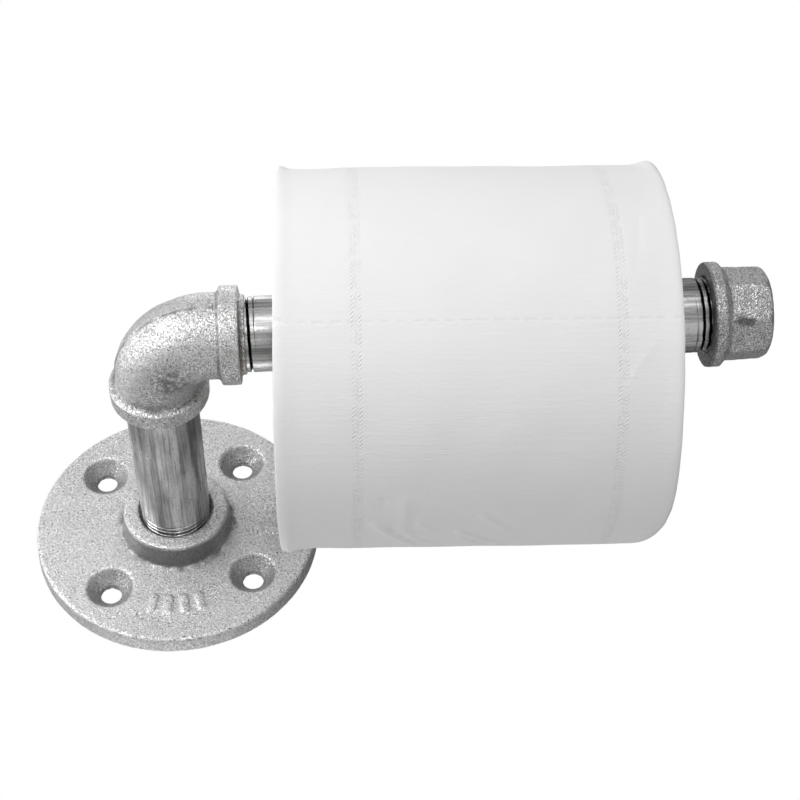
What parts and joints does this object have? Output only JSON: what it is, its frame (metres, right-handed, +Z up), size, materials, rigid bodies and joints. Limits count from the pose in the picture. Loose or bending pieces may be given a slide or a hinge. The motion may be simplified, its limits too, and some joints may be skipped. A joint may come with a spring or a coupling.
{
  "type": "toilet paper holder",
  "caption": "Wall-mounted toilet paper holder made of galvanised pipe fittings: round flange, post, elbow and capped arm, with a full paper roll hanging on the arm.",
  "frame": {"origin": "centre of the flange's back face, on the wall", "axes": "+X along the arm from the elbow to the end cap, +Y into the wall, +Z up"},
  "size_m": [0.2185, 0.1428, 0.11],
  "materials": {
    "cast_galvanised": "satin",
    "pipe_galvanised": "satin",
    "core_board": "matte",
    "tissue": "matte"
  },
  "bodies": {
    "holder": {"floor_flange": "cast_galvanised", "post_nipple": "pipe_galvanised", "elbow": "cast_galvanised", "arm_nipple": "pipe_galvanised"},
    "cap": {"end_cap": "cast_galvanised"},
    "roll_core": {"core_inner_ply": "core_board"},
    "roll": {"core_outer_ply": "core_board", "paper_roll": "tissue"}
  },
  "joints": [
    {"name": "roll_shift", "type": "slide", "parent": "holder", "child": "roll_core", "axis": [1, 0, 0], "range_m": [-0.009, 0.016]},
    {"name": "roll_spin", "type": "hinge", "parent": "roll_core", "child": "roll", "pos_m": [0.0868, -0.0898, -0.01028], "axis": [0.9992, 0, -0.0401], "continuous": true},
    {"name": "cap_off", "type": "slide", "parent": "holder", "child": "cap", "axis": [1, 0, 0], "range_m": [0, 0.03]}
  ]
}
